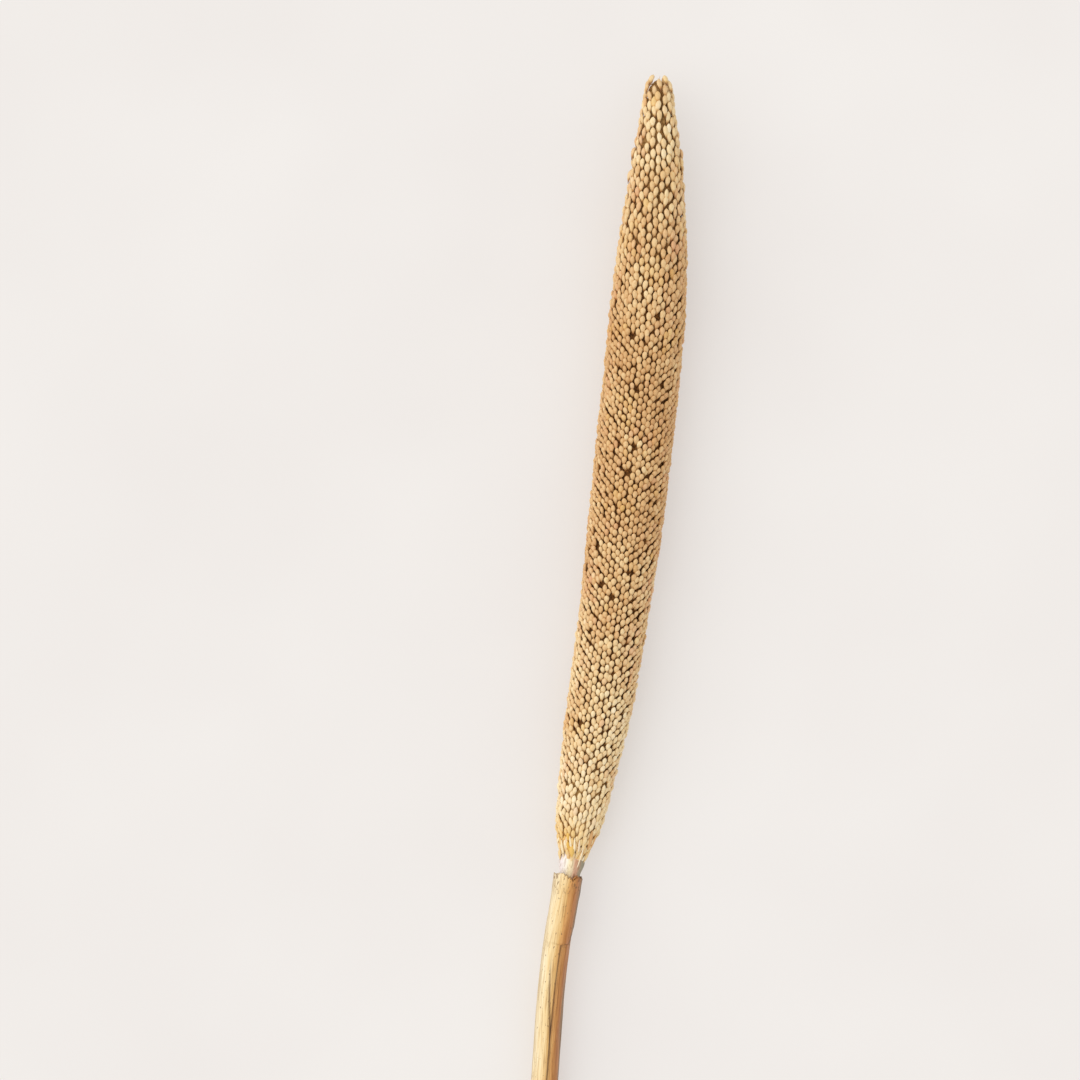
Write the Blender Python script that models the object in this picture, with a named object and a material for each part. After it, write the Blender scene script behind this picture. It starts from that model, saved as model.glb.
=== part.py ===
"""Dried pearl millet seed head, lying on its side with its stalk and its leaf sheath.

Units are metres and +Z is up. The stem runs along X, from its cut end to the tip of the head at
the high end. The object rests on the plane Z = 0, on the belly of the head and on the cut end of
the sheath, and the origin is on that plane, under the middle of the object's box.
"""

import bisect
import math
import random

import bmesh
import bpy
from mathutils import Vector
from mathutils.geometry import delaunay_2d_cdt

MM = 0.001
FULL_TURN = 2 * math.pi

# Corners that come this near the resting plane are moved onto it.
SNAP = 0.03 * MM

# Stations are lengths along the stem in millimetres, counted from the cut end of the stalk.
TIP_STATION = 484.0
HEAD_STATION = 231.5
RIM_STATION = 225.6
TEAR_STATION = 203.5
SHEATH_STATION = 1.5
HEAD_LENGTH = TIP_STATION - HEAD_STATION

# The stem bows sideways in a long S: station and offset towards +Y, in millimetres.
SIDE_BOW = (
    (0.0, 0.0), (80.0, 4.9), (160.0, 7.0), (198.0, 7.2), (230.0, 4.8), (262.0, 1.9),
    (300.0, -1.1), (345.0, -3.0), (400.0, -4.0), (438.0, -3.5), (466.0, -2.1), (484.0, -0.6),
)
SIDE_SHIFT = 2.04

# It also climbs a little, because the head is thicker than the stem that it lies in line with.
CUT_HEIGHT = 3.88
CLIMB = 0.0222

# The head's outline over the grain tips: distance from its base and radius, in millimetres.
HEAD_OUTLINE = (
    (0.0, 4.6), (3.0, 5.0), (9.0, 6.9), (19.0, 8.2), (35.0, 9.6), (52.0, 10.5), (84.0, 11.2),
    (108.0, 11.95), (165.0, 12.2), (187.0, 11.6), (202.0, 10.2), (222.0, 8.1), (235.0, 6.1),
    (247.0, 4.2), (252.5, 3.6),
)
TIP_CAP_LENGTH = 4.6
OUTLINE_SAMPLES = 600
SLOPE_STEP = 0.01

# Grains stand in rings, each turned half a step against the last, with one step round the head
# and another along it. They are fewer and larger than on a real head. Each rises from its heel
# to a tip that leans forward; both lie this far from its middle, as shares of the step along.
STEP_ROUND = 5.3
STEP_ALONG = 2.2
GRAIN_RELIEF = 1.5
HEEL_RELIEF = 1.2
HEEL_BACK = 0.5
TIP_FORWARD = 0.45
GRAIN_JITTER = 0.1
FEWEST_IN_RING = 5
LAST_RING_RADIUS = 1.7
SEED = 7

# The stalk: station and radius in millimetres. It ends in a spigot inside the head.
STALK_OUTLINE = (
    (0.0, 3.05), (60.0, 3.0), (150.0, 3.0), (210.0, 3.0), (222.0, 3.1), (226.5, 3.35),
    (228.5, 3.85), (230.0, 4.1), (231.0, 4.0),
)
STALK_SIDES = 24
STALK_RIDGE = 0.1
STALK_RING_STEP = 15.0
SPIGOT_RADIUS = 2.6
SPIGOT_LENGTH = 10.0
SHOULDER_STATION = 231.1
FITTING_GAP = 0.35

# The sheath: a sheet rolled round the stalk by more than a turn, so that one margin lies over
# the other. Angles are degrees from the top of the stem, towards -Y.
SHEET_THICKNESS = 0.6
SHEATH_INNER_RADIUS = 3.4
LAYER_GAP = 0.3
HIDDEN_MARGIN = -45.0
LAYER_RISE_START = 180.0
TORN_MARGIN = ((0.0, -18.0), (100.0, -6.0), (160.0, 4.0), (190.0, 10.0), (TEAR_STATION, 14.0))
WHOLE_MARGIN = ((TEAR_STATION, 46.0), (209.0, 64.0), (216.0, 70.0), (RIM_STATION, 62.0))
TEAR_WIDTH = 0.8
SHEATH_COLUMNS = 34
SHEATH_ROW_STEP = 13.0
SHEATH_CLOSE_ROWS = (209.0, 214.0, 218.0, 221.0, 223.5, RIM_STATION)
VEIN_HEIGHT = 0.06
RIM_FLARE = 0.35
RIM_FLARE_LENGTH = 9.0
RIM_RAGGEDNESS = 0.55
RIM_RAGGED_LENGTH = 5.0

# Colours are linear, as the dried plant shows them.
GRAIN_COLOUR = (0.50, 0.36, 0.20)
STALK_COLOUR = (0.62, 0.52, 0.34)
SHEATH_COLOUR = (0.56, 0.41, 0.20)


def smooth_curve(points, x):
    """The height at x of a smooth curve through (x, height) points, level past its ends."""
    xs = [point[0] for point in points]
    if x <= xs[0]:
        return points[0][1]
    if x >= xs[-1]:
        return points[-1][1]

    def slope(k):
        low, high = max(k - 1, 0), min(k + 1, len(points) - 1)
        return (points[high][1] - points[low][1]) / (xs[high] - xs[low])

    i = bisect.bisect_right(xs, x) - 1
    span = xs[i + 1] - xs[i]
    t = (x - xs[i]) / span
    start = (1 + 2 * t) * (1 - t) ** 2 * points[i][1] + t * (1 - t) ** 2 * span * slope(i)
    end = t * t * (3 - 2 * t) * points[i + 1][1] - t * t * (1 - t) * span * slope(i + 1)
    return start + end


def smooth_step(low, high, x):
    """0 below low, 1 above high, and a smooth rise between them."""
    t = min(max((x - low) / (high - low), 0.0), 1.0)
    return t * t * (3 - 2 * t)


def read_table(xs, ys, x):
    """The value at x on the straight lines between (x, y) samples."""
    i = min(max(bisect.bisect_right(xs, x), 1), len(xs) - 1)
    return ys[i - 1] + (ys[i] - ys[i - 1]) * (x - xs[i - 1]) / (xs[i] - xs[i - 1])


def axis_point(station):
    """The middle of the stem at a station, in metres."""
    side = smooth_curve(SIDE_BOW, station) + SIDE_SHIFT
    return Vector((station - TIP_STATION / 2, side, CUT_HEIGHT + CLIMB * station)) * MM


def around_stem(station, radius, angle):
    """The point at a radius in millimetres and an angle in radians from the top, towards -Y."""
    along = (axis_point(station + 1) - axis_point(station - 1)).normalized()
    side = along.cross(Vector((0, 0, 1))).normalized()
    up = side.cross(along)
    return axis_point(station) + (up * math.cos(angle) + side * math.sin(angle)) * radius * MM


def add_ring(bm, station, radii):
    """A ring of vertices round the stem, one for each radius."""
    count = len(radii)
    return [bm.verts.new(around_stem(station, radii[k], FULL_TURN * k / count)) for k in range(count)]


def join_rings(bm, first, second):
    """Faces between two rings with equal numbers of vertices."""
    for k in range(len(first)):
        n = (k + 1) % len(first)
        bm.faces.new((first[k], first[n], second[n], second[k]))


def rest_on_plane(bm):
    """Cut off what would reach below the resting plane, and close each cut with a flat face."""
    everything = bm.verts[:] + bm.edges[:] + bm.faces[:]
    bmesh.ops.bisect_plane(bm, geom=everything, dist=SNAP, plane_no=(0, 0, 1), clear_inner=True)
    for vert in bm.verts:
        if vert.co.z < SNAP:
            vert.co.z = 0.0
    bmesh.ops.holes_fill(bm, edges=[edge for edge in bm.edges if edge.is_boundary], sides=0)


def add_object(name, bm, colour, roughness):
    """Turn a closed mesh into an object with its own material."""
    bmesh.ops.triangulate(bm, faces=bm.faces[:])
    bmesh.ops.recalc_face_normals(bm, faces=bm.faces[:])
    mesh = bpy.data.meshes.new(name)
    bm.to_mesh(mesh)
    bm.free()
    mesh.shade_smooth()
    mesh.set_sharp_from_angle(angle=math.radians(35))
    material = bpy.data.materials.new(name)
    material.use_nodes = True
    shader = material.node_tree.nodes["Principled BSDF"]
    shader.inputs["Base Color"].default_value = (*colour, 1.0)
    shader.inputs["Roughness"].default_value = roughness
    shader.inputs["Metallic"].default_value = 0.0
    mesh.materials.append(material)
    bpy.context.collection.objects.link(bpy.data.objects.new(name, mesh))


def valley_radius(distance):
    """The radius of the head between its grains, rounded off at the tip."""
    to_tip = HEAD_LENGTH - GRAIN_RELIEF - distance
    past_cap = max(1 - to_tip / TIP_CAP_LENGTH, 0.0)
    return (smooth_curve(HEAD_OUTLINE, distance) - GRAIN_RELIEF) * math.sqrt(max(1 - past_cap ** 2, 0.0))


class HeadSurface:
    """The surface between the grains, with places on it given as an angle and a rise.

    The rise grows with the way along the outline, divided by the radius, so that a small square
    of angle and rise is also a square on the surface.
    """

    def __init__(self):
        shares = [math.sin(math.pi / 2 * i / OUTLINE_SAMPLES) for i in range(OUTLINE_SAMPLES + 1)]
        self.distances = [(HEAD_LENGTH - GRAIN_RELIEF) * share for share in shares]
        self.radii = [valley_radius(distance) for distance in self.distances]
        self.ways = [0.0]
        self.rises = [0.0]
        for i in range(1, len(shares)):
            step = math.hypot(self.distances[i] - self.distances[i - 1], self.radii[i] - self.radii[i - 1])
            self.ways.append(self.ways[-1] + step)
            self.rises.append(self.rises[-1] + 2 * step / (self.radii[i] + self.radii[i - 1]))

    def radius(self, rise):
        return read_table(self.rises, self.radii, rise)

    def point(self, angle, rise, height=0.0):
        """The point at a height in millimetres over a place on the surface."""
        distance = read_table(self.rises, self.distances, rise)
        forward = read_table(self.rises, self.distances, rise + SLOPE_STEP) - distance
        lean = math.atan2(self.radius(rise) - self.radius(rise + SLOPE_STEP), forward)
        station = HEAD_STATION + distance + height * math.sin(lean)
        return around_stem(station, self.radius(rise) + height * math.cos(lean), angle)


def grain_rings(surface):
    """Rings of (angle, rise) places, from the base to the tip. The first and last hold no grain."""
    draw = random.Random(SEED)
    rings = []
    way = 0.0
    while way < HEAD_LENGTH / 2 or surface.radius(rise) > LAST_RING_RADIUS:
        rise = read_table(surface.ways, surface.rises, way)
        radius = surface.radius(rise)
        count = max(round(FULL_TURN * (radius + GRAIN_RELIEF) / STEP_ROUND), FEWEST_IN_RING)
        step = FULL_TURN / count
        jitter = GRAIN_JITTER if rings else 0.0
        ring = []
        for k in range(count):
            angle = step * (k + len(rings) % 2 / 2 + draw.uniform(-jitter, jitter))
            ring.append((angle, rise + STEP_ALONG / radius * draw.uniform(-jitter, jitter)))
        rings.append(ring)
        way += STEP_ALONG
    highest = max(place[1] for place in rings[-1])
    rings[-1] = [(angle, highest) for angle, _ in rings[-1]]
    return rings


def grain_cells(rings):
    """The corners that the grains share, and for each grain the numbers of its own, in order.

    A corner is the middle of a triangle between three neighbouring grains. The triangles are found
    on the head unrolled flat and repeated on either side, so that they close round it.
    """
    squeeze = STEP_ROUND / STEP_ALONG / math.sqrt(12)
    places = [place for ring in rings for place in ring]
    flat = []
    owners = []
    for turn in (-FULL_TURN, 0.0, FULL_TURN):
        for owner, (angle, rise) in enumerate(places):
            flat.append(Vector((angle % FULL_TURN + turn, rise * squeeze)))
            owners.append(owner)
    corners = []
    cells = [[] for _ in places]
    for triangle in delaunay_2d_cdt(flat, [], [], 0, 1e-9, False)[2]:
        middle = (flat[triangle[0]] + flat[triangle[1]] + flat[triangle[2]]) / 3
        if 0 <= middle.x < FULL_TURN:
            for k in triangle:
                away = middle - flat[k]
                cells[owners[k]].append((math.atan2(away.y, away.x), len(corners)))
            corners.append((middle.x, middle.y / squeeze))
    return corners, [[number for _, number in sorted(cell)] for cell in cells]


def add_grain(bm, surface, valleys, corners, cell, place):
    """One grain: a keeled bump over its cell, rising from its heel to a tip that leans forward."""
    angle, rise = place
    step = STEP_ALONG / surface.radius(rise)
    heel = bm.verts.new(surface.point(angle, rise - HEEL_BACK * step, HEEL_RELIEF))
    tip = bm.verts.new(surface.point(angle, rise + TIP_FORWARD * step, GRAIN_RELIEF))
    tops = [tip if corners[number][1] > rise else heel for number in cell]
    for k in range(len(cell)):
        n = (k + 1) % len(cell)
        bm.faces.new((valleys[cell[k]], valleys[cell[n]], tops[n]))
        if tops[k] is not tops[n]:
            bm.faces.new((valleys[cell[k]], tops[n], tops[k]))


def add_socket(bm):
    """The blind hole in the base of the head, and the collar round its mouth."""
    mouth = add_ring(bm, HEAD_STATION, [SPIGOT_RADIUS + FITTING_GAP] * STALK_SIDES)
    floor = add_ring(bm, HEAD_STATION + SPIGOT_LENGTH, [SPIGOT_RADIUS + FITTING_GAP] * STALK_SIDES)
    join_rings(bm, mouth, floor)
    bm.faces.new(floor)
    open_edges = [edge for edge in bm.edges if edge.is_boundary]
    bmesh.ops.bridge_loops(bm, edges=open_edges)


def build_grain_head():
    surface = HeadSurface()
    rings = grain_rings(surface)
    places = [place for ring in rings for place in ring]
    corners, cells = grain_cells(rings)
    bm = bmesh.new()
    valleys = [bm.verts.new(surface.point(angle, rise)) for angle, rise in corners]
    for number in range(len(rings[0]), len(places) - len(rings[-1])):
        add_grain(bm, surface, valleys, corners, cells[number], places[number])
    for vert in [vert for vert in valleys if not vert.link_faces]:
        bm.verts.remove(vert)
    tip = bm.verts.new(axis_point(TIP_STATION))
    for edge in [edge for edge in bm.edges if edge.is_boundary and edge.verts[0].co.x > 0]:
        bm.faces.new((*edge.verts, tip))
    add_socket(bm)
    rest_on_plane(bm)
    add_object("grain_head", bm, GRAIN_COLOUR, 0.6)


def build_stalk():
    """A solid rod with lengthwise ridges, closed by the cut at one end and a spigot at the other."""
    shaped = [point[0] for point in STALK_OUTLINE]
    even = [STALK_RING_STEP * k for k in range(int(HEAD_STATION / STALK_RING_STEP))]
    bm = bmesh.new()
    rings = []
    for station in sorted(set(shaped + even)):
        radius = smooth_curve(STALK_OUTLINE, station)
        rings.append(add_ring(bm, station, [radius + STALK_RIDGE * (-1) ** k for k in range(STALK_SIDES)]))
    for station in (SHOULDER_STATION, HEAD_STATION + SPIGOT_LENGTH - FITTING_GAP):
        rings.append(add_ring(bm, station, [SPIGOT_RADIUS] * STALK_SIDES))
    for first, second in zip(rings, rings[1:]):
        join_rings(bm, first, second)
    bm.faces.new(rings[0])
    bm.faces.new(rings[-1])
    add_object("stalk", bm, STALK_COLOUR, 0.65)


def margin_angle(station):
    """The angle of the sheath's outer margin, which steps back where the sheet is torn."""
    torn = smooth_curve(TORN_MARGIN, station)
    whole = smooth_curve(WHOLE_MARGIN, station)
    return torn + (whole - torn) * smooth_step(TEAR_STATION, TEAR_STATION + TEAR_WIDTH, station)


def sheath_radius(station, degrees):
    """The inner radius of the rolled sheet, which moves outwards to lie over itself."""
    overlap = smooth_step(LAYER_RISE_START, 360 + HIDDEN_MARGIN, degrees)
    flare = RIM_FLARE * smooth_step(RIM_STATION - RIM_FLARE_LENGTH, RIM_STATION, station)
    return SHEATH_INNER_RADIUS + (SHEET_THICKNESS + LAYER_GAP) * overlap + flare


def sheath_stations():
    """Rows of the sheath: wide apart on the plain part, close at the tear and the rim."""
    count = round((TEAR_STATION - SHEATH_STATION) / SHEATH_ROW_STEP)
    plain = [SHEATH_STATION + (TEAR_STATION - SHEATH_STATION) * k / count for k in range(count + 1)]
    return plain + [TEAR_STATION + TEAR_WIDTH, *SHEATH_CLOSE_ROWS]


def add_sheath_row(bm, station, lift):
    """One row of vertices across the sheet, from the hidden margin round to the outer one."""
    row = []
    wrap = 360 + margin_angle(station) - HIDDEN_MARGIN
    near_rim = smooth_step(RIM_STATION - RIM_RAGGED_LENGTH, RIM_STATION, station)
    for k in range(SHEATH_COLUMNS + 1):
        degrees = HIDDEN_MARGIN + wrap * k / SHEATH_COLUMNS
        angle = math.radians(degrees)
        ragged = RIM_RAGGEDNESS * near_rim * (math.sin(2.3 * angle + 1) + 0.6 * math.sin(7 * angle))
        radius = sheath_radius(station, degrees) + lift + VEIN_HEIGHT * (-1) ** k
        row.append(bm.verts.new(around_stem(station + ragged, radius, angle)))
    return row


def build_leaf_sheath():
    """The rolled sheet, as two skins of one grid, joined round its margins, cut end and rim."""
    bm = bmesh.new()
    outlines = []
    for lift in (0.0, SHEET_THICKNESS):
        rows = [add_sheath_row(bm, station, lift) for station in sheath_stations()]
        for low, high in zip(rows, rows[1:]):
            for k in range(SHEATH_COLUMNS):
                bm.faces.new((low[k], low[k + 1], high[k + 1], high[k]))
        outer_margin = [row[-1] for row in rows[1:-1]]
        hidden_margin = [row[0] for row in rows[1:-1]]
        outlines.append(rows[0] + outer_margin + rows[-1][::-1] + hidden_margin[::-1])
    join_rings(bm, *outlines)
    rest_on_plane(bm)
    add_object("leaf_sheath", bm, SHEATH_COLOUR, 0.55)


def main():
    for old in list(bpy.data.objects):
        bpy.data.objects.remove(old, do_unlink=True)
    build_grain_head()
    build_stalk()
    build_leaf_sheath()


main()
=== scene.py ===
"""The looks of a dried pearl millet seed head, with its stalk and its rolled leaf sheath.

Shapes are worked out in millimetres and turned to metres when a mesh is made. A station is a
length along the stem from its cut end. Angles go round the stem from its top towards -Y, which
is the right-hand side in the picture.
"""

import math

import bpy
import numpy as np
from mathutils import Matrix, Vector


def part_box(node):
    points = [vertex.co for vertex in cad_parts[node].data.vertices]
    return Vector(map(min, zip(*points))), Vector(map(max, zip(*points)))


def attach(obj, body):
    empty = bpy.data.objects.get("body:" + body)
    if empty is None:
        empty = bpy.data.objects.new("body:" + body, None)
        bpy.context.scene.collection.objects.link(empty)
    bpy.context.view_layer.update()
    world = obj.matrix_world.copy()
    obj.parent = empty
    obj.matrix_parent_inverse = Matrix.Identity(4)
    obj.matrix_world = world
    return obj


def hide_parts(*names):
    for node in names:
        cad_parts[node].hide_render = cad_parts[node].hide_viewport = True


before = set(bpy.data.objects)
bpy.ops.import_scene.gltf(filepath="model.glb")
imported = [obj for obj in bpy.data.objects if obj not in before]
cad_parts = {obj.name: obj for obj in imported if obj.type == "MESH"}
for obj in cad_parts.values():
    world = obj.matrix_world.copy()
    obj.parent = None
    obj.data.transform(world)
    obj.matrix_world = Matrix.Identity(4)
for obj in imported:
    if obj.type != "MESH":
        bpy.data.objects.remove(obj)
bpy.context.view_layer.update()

MM = 0.001
FULL_TURN = 2 * math.pi
SEED = 11

# The stem's line, as the frame has it: a long S to the sides, and a slight climb.
TIP_STATION = 2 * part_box("grain_head")[1].x / MM
HEAD_STATION = 231.5
HEAD_LENGTH = TIP_STATION - HEAD_STATION
RIM_STATION = 225.6
TEAR_STATION = 203.5
SHEATH_STATION = 1.5
SIDE_BOW = (
    (0.0, 0.0), (80.0, 4.9), (160.0, 7.0), (198.0, 7.2), (230.0, 4.8), (262.0, 1.9),
    (300.0, -1.1), (345.0, -3.0), (400.0, -4.0), (438.0, -3.5), (466.0, -2.1), (484.0, -0.6),
)
SIDE_SHIFT = 2.04
CUT_HEIGHT = 3.88
CLIMB = 0.0222

# The head's outline over the grain tips: distance from its base and radius.
HEAD_OUTLINE = (
    (0.0, 4.6), (3.0, 5.0), (9.0, 6.9), (19.0, 8.2), (35.0, 9.6), (52.0, 10.5), (84.0, 11.2),
    (108.0, 11.95), (165.0, 12.2), (187.0, 11.6), (202.0, 10.2), (222.0, 8.1), (235.0, 6.1),
    (247.0, 4.2), (252.5, 3.6),
)
TIP_CAP_LENGTH = 4.6

# Each grain stands half a step further along than the columns of grains on either side of it.
# Along the head: the step from grain to grain in a column, the width of a column, how far the
# grains lean outwards in degrees, their length and width, and how pointed they are.
STEP_ALONG = (
    (0.0, 2.7), (12.0, 2.5), (22.0, 2.4), (160.0, 2.42), (185.0, 2.9), (210.0, 3.4), (252.0, 3.5),
)
COLUMN_WIDTH = ((0.0, 1.5), (20.0, 1.5), (165.0, 1.52), (190.0, 1.6), (252.0, 1.6))
GRAIN_LEAN = (
    (0.0, 9.0), (12.0, 12.0), (40.0, 22.0), (90.0, 27.0), (150.0, 26.0), (185.0, 18.0),
    (212.0, 13.0), (240.0, 10.0), (252.5, 9.0),
)
GRAIN_LENGTH = ((0.0, 4.4), (20.0, 4.0), (60.0, 3.8), (160.0, 3.8), (190.0, 4.3), (252.0, 4.8))
GRAIN_WIDTH = ((0.0, 1.5), (25.0, 1.66), (165.0, 1.74), (200.0, 1.85), (252.0, 1.85))
GRAIN_POINT = ((0.0, 1.0), (14.0, 0.8), (34.0, 0.35), (160.0, 0.15), (200.0, 0.3), (252.0, 0.45))
GRAIN_TONE = (
    (0.0, 0.86), (18.0, 0.86), (45.0, 0.76), (75.0, 0.66), (110.0, 0.56), (165.0, 0.54),
    (200.0, 0.62), (225.0, 0.7), (252.0, 0.74),
)

# Rings of a grain from its heel to its beak: share of the length, and share of the half width
# on a rounded grain and on a pointed one.
GRAIN_RINGS = (
    (0.00, 0.10, 0.12), (0.16, 0.28, 0.36), (0.32, 0.52, 0.64), (0.48, 0.77, 0.90),
    (0.64, 0.97, 1.00), (0.79, 0.99, 0.82), (0.91, 0.76, 0.50), (0.975, 0.38, 0.22),
)
BEAK_LENGTH = 0.05
GRAIN_SIDES = 10
GRAIN_DEPTH = 0.66
GRAIN_PIECES = 4

# Nothing reaches lower than this, in millimetres, so that the floor doesn't show through.
RESTING_HEIGHT = 0.03


def smooth_curve(points, x):
    """Heights at x of a smooth curve through (x, height) points, level past its ends."""
    xs, heights = np.array(points, float).T
    x = np.clip(np.asarray(x, float), xs[0], xs[-1])
    low = np.maximum(np.arange(len(xs)) - 1, 0)
    high = np.minimum(np.arange(len(xs)) + 1, len(xs) - 1)
    slopes = (heights[high] - heights[low]) / (xs[high] - xs[low])
    i = np.clip(np.searchsorted(xs, x, side="right") - 1, 0, len(xs) - 2)
    span = xs[i + 1] - xs[i]
    t = (x - xs[i]) / span
    start = (1 + 2 * t) * (1 - t) ** 2 * heights[i] + t * (1 - t) ** 2 * span * slopes[i]
    end = t * t * (3 - 2 * t) * heights[i + 1] - t * t * (1 - t) * span * slopes[i + 1]
    return start + end


def smooth_step(low, high, x):
    """0 below low, 1 above high, and a smooth rise between them."""
    t = np.clip((np.asarray(x, float) - low) / (high - low), 0.0, 1.0)
    return t * t * (3 - 2 * t)


def bell(x, middle, width):
    """A smooth hump of height 1."""
    return np.exp(-((x - middle) / width) ** 2)


def unit(vectors):
    return vectors / np.linalg.norm(vectors, axis=-1, keepdims=True)


def uneven(points, size, seed):
    """A gentle uneven field between about -1 and 1, with lumps of the given size in millimetres."""
    draw = np.random.default_rng(seed)
    waves = 7
    total = np.zeros(points.shape[:-1])
    for _ in range(waves):
        way = unit(draw.normal(size=3)) * FULL_TURN / (size * draw.uniform(0.7, 1.5))
        total += np.sin(points @ way + draw.uniform(0, FULL_TURN))
    return total / math.sqrt(waves)


def stem_frame(station):
    """The stem's middle at each station, and its directions forwards, up and to the right."""
    def middle(at):
        side = smooth_curve(SIDE_BOW, at) + SIDE_SHIFT
        return np.stack([at - TIP_STATION / 2, side, CUT_HEIGHT + CLIMB * at], axis=-1)

    station = np.asarray(station, float)
    forwards = unit(middle(station + 1) - middle(station - 1))
    right = unit(np.cross(forwards, [0.0, 0.0, 1.0]))
    return middle(station), forwards, np.cross(right, forwards), right


def around_stem(station, radius, angle):
    """Points at a radius and an angle in radians round the stem."""
    middle, _, up, right = stem_frame(station)
    outwards = up * np.cos(angle)[..., None] + right * np.sin(angle)[..., None]
    return middle + outwards * np.asarray(radius)[..., None]


def head_radius(distance):
    """The radius over the grain tips, rounded off at the head's tip."""
    past_cap = np.clip(1 - (HEAD_LENGTH - distance) / TIP_CAP_LENGTH, 0.0, 1.0)
    return smooth_curve(HEAD_OUTLINE, distance) * np.sqrt(1 - past_cap ** 2)


def grid_faces(rows, columns, closed=True):
    """Four-cornered faces of a grid of vertices, joined round its rows if it is closed."""
    numbers = np.arange(rows * columns).reshape(rows, columns)
    if closed:
        numbers = np.concatenate([numbers, numbers[:, :1]], axis=1)
    low, high = numbers[:-1], numbers[1:]
    corners = [low[:, :-1], low[:, 1:], high[:, 1:], high[:, :-1]]
    return np.stack(corners, axis=-1).reshape(-1, 4)


def fan_faces(ring, middle):
    """Triangles from each edge of a ring to one vertex."""
    return np.stack([ring, np.roll(ring, -1), np.full(len(ring), middle)], axis=-1)


def make_piece(name, points, faces, material, slot, **layers):
    """Make a mesh of blocks of faces, with its layers of values, that goes with the object."""
    points = points.copy()
    points[:, 2] = np.maximum(points[:, 2], RESTING_HEIGHT)
    mesh = bpy.data.meshes.new(name)
    corners = np.concatenate([block.ravel() for block in faces])
    sizes = np.concatenate([np.full(len(block), block.shape[1]) for block in faces])
    mesh.vertices.add(len(points))
    mesh.vertices.foreach_set("co", (points * MM).astype(np.float32).ravel())
    mesh.loops.add(len(corners))
    mesh.loops.foreach_set("vertex_index", corners.astype(np.int32))
    mesh.polygons.add(len(sizes))
    mesh.polygons.foreach_set("loop_start", (np.cumsum(sizes) - sizes).astype(np.int32))
    mesh.update(calc_edges=True)
    for layer, values in layers.items():
        kind, field = ("FLOAT", "value") if values.ndim == 1 else ("FLOAT_VECTOR", "vector")
        made = mesh.attributes.new(layer, kind, "POINT")
        made.data.foreach_set(field, values.astype(np.float32).ravel())
    mesh.shade_smooth()
    mesh.materials.append(material)
    piece = bpy.data.objects.new(name, mesh)
    bpy.context.scene.collection.objects.link(piece)
    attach(piece, "root")
    return piece


# How far a body's middle line stands up, as a share of its depth, and how far apart the husk's
# pattern is read for one body and the next, in millimetres.
KEEL_HEIGHT = 0.1
APART = 3.7


class Bodies:
    """Many slim closed bodies of one build, such as grains or bristles, kept as arrays.

    Each is a row of rings from a heel to a tip. Its side and its face are directions across it.
    """

    def __init__(self, centres, side, face, half_width, half_depth, tips, sides):
        count, rings = centres.shape[:2]
        turn = FULL_TURN * np.arange(sides) / sides
        keel = 1 + KEEL_HEIGHT * np.clip(np.cos(turn), 0, 1) ** 6
        across = half_width[..., None] * np.sin(turn)
        out = half_depth[..., None] * np.cos(turn) * keel
        skin = centres[:, :, None] + side[:, None, None] * across[..., None]
        skin = skin + face[:, None, None] * out[..., None]
        ends = np.stack([centres[:, 0], tips], axis=1)
        self.points = np.concatenate([skin.reshape(count, -1, 3), ends], axis=1)
        self.count, self.rings, self.sides = count, rings, sides
        self.turn = turn
        self.half_width = half_width

    def per_point(self, along, tip_value, heel_value=0.0):
        """A value for every point, from one for each body and ring, its tip and its heel."""
        skin = np.repeat(along, self.sides, axis=1)
        ends = np.empty((self.count, 2))
        ends[:, 0], ends[:, 1] = heel_value, tip_value
        return np.concatenate([skin, ends], axis=1)

    def per_body(self, values):
        return np.repeat(values[:, None], self.points.shape[1], axis=1)

    def husk_place(self, lengths):
        """Places for the husk's pattern: round the body, along it, and apart for each body."""
        shares = np.linspace(0, 1, self.rings)[None] * lengths[:, None]
        around = self.half_width[:, :, None] * self.turn
        skin = np.stack([
            around,
            np.broadcast_to(shares[:, :, None], around.shape),
            np.broadcast_to((np.arange(self.count) * APART)[:, None, None], around.shape),
        ], axis=-1).reshape(self.count, -1, 3)
        ends = np.zeros((self.count, 2, 3))
        ends[:, 1, 1] = lengths
        ends[:, :, 2] = (np.arange(self.count) * APART)[:, None]
        return np.concatenate([skin, ends], axis=1)

    def faces(self, count):
        """Faces of the first so many bodies, with their vertices numbered on from zero."""
        around = grid_faces(self.rings, self.sides)
        first = np.arange(self.sides)
        last = first + (self.rings - 1) * self.sides
        heel = self.rings * self.sides
        triangles = np.concatenate([fan_faces(first[::-1], heel), fan_faces(last, heel + 1)])
        starts = (np.arange(count) * (heel + 2))[:, None, None]
        return [(block[None] + starts).reshape(-1, block.shape[1]) for block in (around, triangles)]

    def husk_layers(self, along, heel, tone, blush, gold, lengths):
        """The values that the husk's material reads, for every point of every body."""
        return {
            "along": self.per_point(along, 1.0, heel),
            "tone": self.per_body(tone),
            "blush": self.per_body(blush),
            "gold": self.per_body(gold),
            "husk_place": self.husk_place(lengths),
        }


# Grains are placed ring by ring between the first and the last distance, on a surface a little
# under their tips, and then pushed apart and shifted by a share of their own spacing.
FIRST_GRAIN = 3.6
LAST_GRAIN = 0.12
SPACING_DEPTH = 0.5
SPREADING_ROUNDS = 12
PLACE_JITTER = 0.07
MISSING_GRAINS = 0.012
LEAST_RADIUS = 1.0
FEWEST_IN_A_RING = 3


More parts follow.
